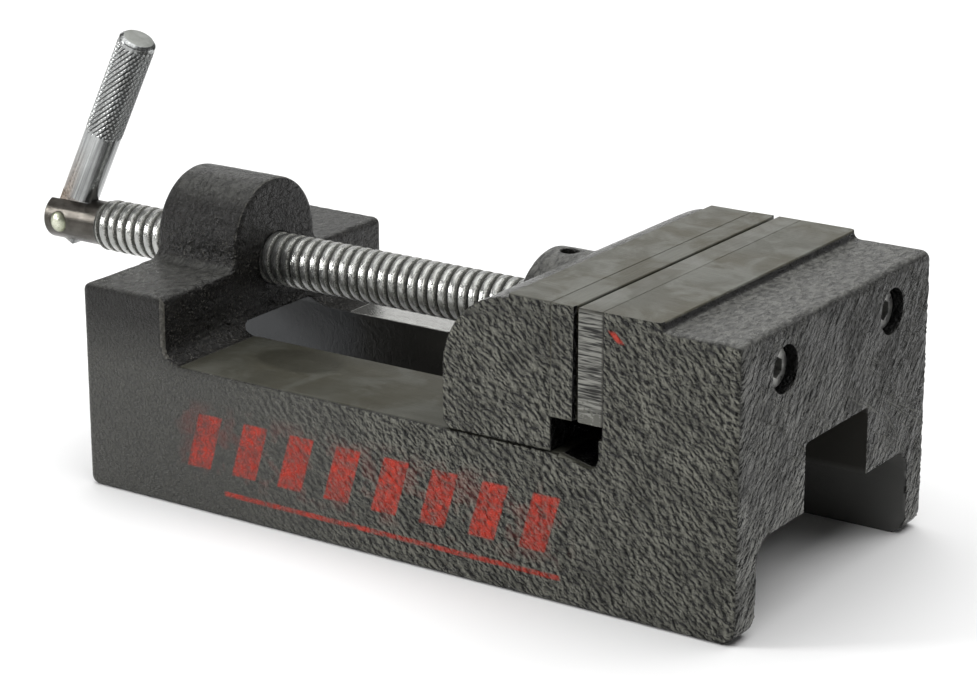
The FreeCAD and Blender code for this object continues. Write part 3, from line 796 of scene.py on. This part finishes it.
def cast(node, name, voxel, machined):
    """A casting: the CAD shape, meshed finely, with its machined planes kept flat."""
    thing = remeshed(node, name, voxel)
    p = points_of(thing.data)
    n = normals_of(thing.data)
    level = np.zeros(len(p), dtype=bool)
    for axis, value, within in machined:
        level |= flatten(p, axis, value, voxel * SNAP, within)
    return thing, p, n, level


def coat(thing, p, n, right_end, level, bare, edge, painted_shade):
    """Gives a casting its relief and the masks that its paint reads."""
    mesh = thing.data
    side, end, top = faces_of(p, n, right_end)
    shifted = p + np.array([END_X - right_end, 0, 0])
    crease = creases_at(p, right_end)
    height = cast_relief(shifted, side, end, top, crease)
    height[level | (bare > 0.5)] = 0.0
    set_points(mesh, p + n * height[:, None])
    near = (p[:, Y] < -50) & (n[:, Y] < -0.5)
    masks = {
        "bare": bare, "edge": edge, "painted_shade": painted_shade,
        "side": side, "end": end, "top": top, "near": near,
    }
    for name, values in masks.items():
        mask_layer(mesh, name, np.asarray(values, dtype=float))
    shade(mesh, True)


def body_planes():
    """Machined planes of the body: the axis that each stands on, its place, and its limits."""
    planes = [
        (Z, RAIL_Z, [(X, -83, RAMP_X), (Y, -HALF_WIDTH - 1, HALF_WIDTH + 1)]),
        (Z, PAD_Z, [(X, SEAT_X - 0.7, 98)]),
        (X, SEAT_X, [(Z, 54, PAD_Z + 1)]),
        (X, WALL_X, [(Z, 46, 56)]),
        (Z, 0.0, []),
    ]
    for side in (1, -1):
        planes.append((Y, side * SLOT_Y, [(Z, 29, 50)]))
    planes.append((Z, RAIL_FOOT_Z, [(Y, SLOT_Y, UNDER_Y)]))
    planes.append((Z, RAIL_FOOT_Z, [(Y, -UNDER_Y, -SLOT_Y)]))
    return planes


def body_holes(p):
    """Makes the bore and the counterbores round, and returns the points of the bore and of those."""
    x, y, z = p.T
    from_axis = np.hypot(y, z - AXIS_Z)
    bore = (np.abs(from_axis - BORE) < 0.7) & (x < BEAM_X + 1)
    mouth = (from_axis < BORE + 1.3) & between(x, BEAM_X - 1, BEAM_X + 1)
    rounded(p, (0, AXIS_Z), BORE, bore)
    sunk = np.zeros(len(p), dtype=bool)
    for side in (-1, 1):
        centre = (side * SCREW_Y, SCREW_Z)
        from_screw = np.hypot(y - centre[0], z - centre[1])
        wall = (np.abs(from_screw - COUNTERBORE) < 0.42) & (x > END_X - 10)
        rounded(p, centre, COUNTERBORE, wall)
        sunk |= (from_screw < COUNTERBORE + 0.45) & (x > WALL_X - 0.1)
    return bore | mouth, sunk


def body_bare(p, n, ramp):
    """Points of the rails, of the fixed jaw's pad and of the near edge of the ramp between them."""
    x, y, z = p.T
    up = n[:, Z] > 0.5
    rail = up & (np.abs(z - RAIL_Z) < 0.4) & (x > np.where(y > 0, -74, -84)) & (x < RAMP_X + 1)
    pad = up & (np.abs(z - PAD_Z) < 0.4) & (x > 60)
    return rail | pad | (ramp & (n[:, Z] > 0.3) & (y < -58))


def body_edges(p, n):
    """Where paint chips off along the rails and round the boss, and a painted highlight down the beam's
    near edge.
    """
    x, y, z = p.T
    rail = 0.45 * smooth(1.4, 0.2, np.abs(z - RAIL_Z)) * (np.abs(y) > 58) * between(x, -84, RAMP_X)
    boss = (x < BEAM_X + 1) & (np.abs(y) < 24) & (z > 72)
    turning = np.minimum(n[:, X], 1 - np.abs(n[:, X])) * 2
    lip_highlight = (x < -88) & (n[:, Y] < -0.3) & (n[:, X] > 0.3) & (y < -58) & (z > 50)
    edge = np.maximum(rail, 0.7 * boss * smooth(0.35, 0.7, turning))
    return np.maximum(edge, 0.8 * lip_highlight)


def body_visual():
    """The body casting, with true planes and holes under rough paint."""
    thing, p, n, level = cast("body_casting", "body_paint", BODY_VOXEL, body_planes())
    round_walls, sunk = body_holes(p)
    flatten(p, X, END_X, BODY_VOXEL * SNAP, [(Y, -57.5, 57.5), (Z, 7, 88)])
    flatten(p, X, BEAM_X, BODY_VOXEL * SNAP, [(Y, -12, 12), (Z, 58, 82)])
    x, y, z = p.T
    ramp = between(x, RAMP_X, WALL_X + 0.4) & between(z, 44.5, RAIL_Z + 0.5) & (np.abs(y) < HALF_WIDTH)
    seat = between(x, RAMP_X, SEAT_X + 0.3) & between(z, 44, PAD_Z + 1) & (n[:, X] < -0.3)
    step = between(x, 97.6, 101) & between(z, 91.3, 94.9) & (n[:, X] > 0.4)
    inner = (np.abs(y) < 50) & (z < 52) & (n[:, Z] < 0.5)
    bottom = z < 0.3
    bare = body_bare(p, n, ramp) * 1.0
    # painted shade: the seat, the counterbore walls, the pocket floor and the step's wall are darkened
    painted_shade = np.maximum(seat | (sunk & (x < END_X - 0.5)) | (ramp & (y > -58)), 0.75 * step)
    level |= round_walls | sunk | seat | bottom | (inner & (np.abs(y) < SLOT_Y + 1))
    coat(thing, p, n, END_X, level, bare, body_edges(p, n), painted_shade)
    # the channel's walls, which get painted light in channel_coat and less relief
    mask_layer(thing.data, "inner", inner * (np.abs(n[:, X]) < 0.5) * 1.0)
    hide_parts("body_casting")
    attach(thing, "base")
    return thing


def movable_visual():
    """The movable jaw's casting, with its slide, its holes and its jaw face kept true."""
    machined = [
        (Z, PAD_Z, [(X, 44, 60)]),
        (X, JAW_FACE_X, [(Z, 48, PAD_Z + 1)]),
        (Z, RAIL_Z + 0.1, []),
        (Y, SLOT_Y - 0.1, [(Z, 29, 48)]),
        (Y, 0.1 - SLOT_Y, [(Z, 29, 48)]),
        (Z, RAIL_FOOT_Z - 0.2, []),
    ]
    thing, p, n, level = cast("movable_jaw", "movable_jaw_paint", JAW_VOXEL, machined)
    x, y, z = p.T
    level |= (np.hypot(y, z - AXIS_Z) < 7.5) & (x < 56)
    level |= z < RAIL_Z + 0.3
    for side in (-1, 1):
        level |= np.hypot(y - side * SCREW_Y, z - SCREW_Z) < COUNTERBORE + 0.4
    level |= (np.hypot(x - RETAINER_X, y) < 4.0) & (z > 80)
    pad = (n[:, Z] > 0.5) & (np.abs(z - PAD_Z) < 0.4)
    slide = z < RAIL_Z
    front = np.abs(x - JAW_FACE_X) < 0.3
    # the jaw's front face, behind its plate, takes painted shade
    coat(thing, p, n, JAW_FACE_X, level | front, (pad | slide) * 1.0, np.zeros(len(p)), front * 1.0)
    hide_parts("movable_jaw")
    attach(thing, "carriage")
    return thing


# ---- spindle and crank ---------------------------------------------------------------------------

def thread_phase(x, angle):
    """Where a point lies across one ridge of the right-handed thread, from -1 to 1."""
    return 2 * (np.mod(x / PITCH - angle / (2 * math.pi), 1.0) - 0.5)


def round_angles(steps):
    return np.linspace(0, 2 * math.pi, steps, endpoint=False)


def spindle_visual():
    """The spindle: a real helical thread between the plain end and the nose of the CAD's spindle."""
    first, last = THREAD_X
    angle = round_angles(112)
    rings = []
    for x in np.arange(first, last + 1e-6, RING_STEP):
        across = np.abs(thread_phase(x, angle))
        radius = CREST - 0.35 * across ** 2 - 1.55 * smooth(0.62, 0.98, across)
        full = min(max(min(x - first, last - x) / RUN_OUT, 0.0), 1.0)
        radius = np.minimum(radius, CREST - 1.4 * (1 - full))
        ring = [np.full(len(angle), x), radius * np.cos(angle), AXIS_Z + radius * np.sin(angle)]
        rings.append(np.stack(ring, axis=1))
    thread = grid_mesh("thread", rings)
    neck = part_of("spindle", (first + 0.4, 0, 0), (1, 0, 0))
    nose = part_of("spindle", (last - 0.4, 0, 0), (-1, 0, 0))
    thing = put("spindle_thread", joined("spindle_thread", [thread, neck, nose]))
    sharpen(thing, 40)
    x, y, z = points_of(thing.data).T
    phase = thread_phase(x, np.arctan2(z - AXIS_Z, y))
    on_thread = between(x, first + 0.1, last - 0.1)
    flank = smooth(0.34, 0.44, phase) * smooth(0.80, 0.72, phase)
    flank = np.maximum(flank, 0.6 * smooth(-0.62, -0.70, phase))
    mask_layer(thing.data, "flank", flank * on_thread)
    mask_layer(thing.data, "groove", smooth(0.80, 0.92, np.abs(phase)) * on_thread)
    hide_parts("spindle")
    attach(thing, "screw")
    return thing


CRANK_AXIS = np.array([math.sin(LEAN), 0, math.cos(LEAN)])
CRANK_ACROSS = np.array([math.cos(LEAN), 0, -math.sin(LEAN)])
PIVOT = np.array([PIVOT_X, 0, AXIS_Z])


def crank_frame(p):
    """Distance along the bar from its pivot, and the two distances across it."""
    away = p - PIVOT
    return away @ CRANK_AXIS, away @ CRANK_ACROSS, p[:, Y]


def crank_ring(s, radius, angle):
    """Points round the bar at a distance s from its pivot."""
    sideways = np.array([0, 1.0, 0])
    outward = np.cos(angle)[:, None] * CRANK_ACROSS + np.sin(angle)[:, None] * sideways
    return PIVOT + CRANK_AXIS * s + np.asarray(radius).reshape(-1, 1) * outward


def knurled(s):
    """1 along the knurled stretch of the bar, fading out at both of its ends."""
    return smooth(37.2, 38.4, s) * smooth(74.6, 73.2, s)


def knurl_groove(s, angle):
    """Depth from 0 to 1 of two crossing sets of spiral grooves, the second one shallower."""
    turn = 2 * math.pi * s / KNURL_LEAD
    first = np.abs(np.mod((angle - turn) * KNURL_LINES / (2 * math.pi), 1.0) * 2 - 1)
    second = np.abs(np.mod((angle + turn) * KNURL_LINES / (2 * math.pi), 1.0) * 2 - 1)
    deep = smooth(0.40, 0.95, first)
    shallow = 0.5 * smooth(0.45, 0.95, second)
    return np.maximum(deep, shallow) * knurled(s)


def crank_visual():
    """The crank: a knurled bar with a chamfered end, on the fork end of the CAD's crank."""
    start, bar_radius = 33.0, 6.5
    angle = round_angles(240)
    rings = []
    for s in np.arange(start, CAP_S - 1.25, RING_STEP):
        station = np.full(len(angle), s)
        radius = bar_radius + 0.14 * knurled(station) - 0.5 * knurl_groove(station, angle)
        rings.append(crank_ring(s, radius, angle))
    for back, radius in ((1.15, 6.42), (0.9, 6.15), (0.15, 5.4), (0.0, 5.15), (0.0, 3.0)):
        rings.append(crank_ring(CAP_S - back, radius, angle))
    upper = grid_mesh("knurl", rings)
    lower = part_of("crank_handle", tuple(PIVOT + CRANK_AXIS * (start + 0.2)), tuple(CRANK_AXIS))
    thing = put("crank_knurled", joined("crank_knurled", [upper, lower]))
    sharpen(thing, 40)
    s, u, v = crank_frame(points_of(thing.data))
    mask_layer(thing.data, "groove", smooth(0.35, 0.8, knurl_groove(s, np.arctan2(v, u))))
    mask_layer(thing.data, "cap", (s > CAP_S - 0.05) * 1.0)
    mask_layer(thing.data, "rust", smooth(14.5, 11.0, s) * smooth(2.0, -1.0, u) * 0.9)
    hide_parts("crank_handle")
    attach(thing, "crank")
    return thing


def plate_visual():
    """The movable jaw's plate, whose ends carry the jaw's pebbles, with a front edge cut back a little and
    painted near black as painted shade.
    """
    machined = [
        (X, JAW_FACE_X, []), (X, PLATE_FACE_X, []),
        (Z, PLATE_FOOT_Z, []), (Z, PAD_Z, []),
        (Y, -HALF_WIDTH, []), (Y, HALF_WIDTH, []),
    ]
    thing, p, n, _ = cast("movable_jaw_plate", "movable_plate", JAW_VOXEL, machined)
    end = (np.abs(p[:, Y]) > HALF_WIDTH - 0.2) * smooth(0.3, 0.9, np.abs(n[:, Y]))
    shifted = p + np.array([END_X - JAW_FACE_X, 0, 0])
    none = np.zeros(len(p))
    height = cast_relief(shifted, end, none, none, none) * end
    height *= smooth(0, 0.6, p[:, X] - JAW_FACE_X) * smooth(0, 0.6, PLATE_FACE_X - p[:, X])
    p = p + n * height[:, None]
    # the front edge is cut back, more low down, and the cut is marked for painted shade
    worn = (0.5 + 0.5 * (PAD_Z - p[:, Z]) / 45.0) * smooth(58.4, 58.9, np.abs(p[:, Y]))
    painted_gap_shade = p[:, X] > PLATE_FACE_X - worn - 0.01
    p[:, X] = np.minimum(p[:, X], PLATE_FACE_X - worn)
    set_points(thing.data, p)
    mask_layer(thing.data, "painted_gap_shade", painted_gap_shade * (worn > 0.02) * 1.0)
    shade(thing.data, True)
    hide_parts("movable_jaw_plate")
    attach(thing, "carriage")
    return thing


# ---- build ---------------------------------------------------------------------------------------

paint = hammer_paint("paint")
for piece, material, slot in (
    (body_visual(), paint, "hammer_paint"),
    (movable_visual(), paint, "hammer_paint"),
    (spindle_visual(), spindle_steel("spindle_steel"), "zinc_screw"),
    (crank_visual(), crank_steel("crank_steel"), "zinc_handle"),
    (plate_visual(), movable_plate_steel("movable_plate_steel"), "milled_steel"),
):
    dress(piece, material)

fixed_steel = fixed_plate_steel("fixed_plate_steel")
keeper = keeper_steel("keeper_steel")
screw_black = blackened_steel("screw_black")
rivet = rivet_steel("rivet")
replaced = ("body_casting", "movable_jaw", "movable_jaw_plate", "spindle", "crank_handle")
for node, thing in nodes.items():
    if "plate_screw" in node or "keeper_bolt" in node or "retaining" in node:
        dress(thing, screw_black)
    elif node == "fixed_jaw_plate":
        dress(thing, fixed_steel)
    elif "keeper" in node:
        dress(thing, keeper)
    elif node == "crank_pivot_pin":
        dress(thing, rivet)
    if node not in replaced:
        sharpen(thing, 30)


# ---- stage, light, camera (metres) ---------------------------------------------------------------

def white_floor():
    """A wide, matt white floor."""
    r = 6.0
    mesh = bpy.data.meshes.new("floor")
    mesh.from_pydata([(-r, -r, 0), (r, -r, 0), (r, r, 0), (-r, r, 0)], [], [(0, 1, 2, 3)])
    floor = put("floor", mesh)
    mat = bpy.data.materials.new("floor")
    mat.use_nodes = True
    shader = mat.node_tree.nodes["Principled BSDF"]
    shader.inputs["Base Color"].default_value = (0.9, 0.9, 0.9, 1)
    shader.inputs["Roughness"].default_value = 0.9
    dress(floor, mat)


def area(name, place, target, size, power):
    """A rectangular lamp of a width and height, turned towards its target, with its power in watts."""
    data = bpy.data.lights.new(name, "AREA")
    data.shape = "RECTANGLE"
    data.size, data.size_y = size
    data.energy = power
    lamp = put(name, data)
    lamp.location = place
    lamp.rotation_euler = (Vector(target) - Vector(place)).to_track_quat("-Z", "Y").to_euler()


def studio_world():
    """Faint even light from all round."""
    world = bpy.data.worlds.new("studio")
    bpy.context.scene.world = world
    world.use_nodes = True
    background = world.node_tree.nodes["Background"]
    background.inputs["Color"].default_value = (1, 1, 1, 1)
    background.inputs["Strength"].default_value = 0.08


def photo_camera():
    """The camera that was fitted to the photograph: where it stands, what it faces, and its lens."""
    data = bpy.data.cameras.new("camera")
    data.sensor_width = 36
    data.lens = 110.716
    data.clip_start = 0.05
    camera = put("camera", data)
    place = Vector((0.517587, -0.766831, 0.354422))
    back = Vector((0.53493, -0.78743, 0.30628)).normalized()
    up = Vector((-0.17088, 0.25418, 0.95194)).normalized()
    right = up.cross(back).normalized()
    turn = Matrix((right, up, back)).transposed().to_4x4()
    camera.matrix_world = Matrix.Translation(place) @ turn
    bpy.context.scene.camera = camera


white_floor()
area("overhead", (0, 0.4, 2.6), (0, 0.4, 0), (4.0, 4.0), 130)
area("key", (-1.4, -1.1, 0.70), (0, 0, 0.05), (0.45, 0.45), 20)
area("rear_panel", (-1.3, 1.9, 0.75), (0, 0, 0.05), (2.0, 0.9), 6)
area("right_panel", (1.25, 1.5, 0.32), (0, 0, 0.05), (0.9, 0.35), 4)
studio_world()
bpy.context.scene.view_settings.view_transform = "Standard"
photo_camera()
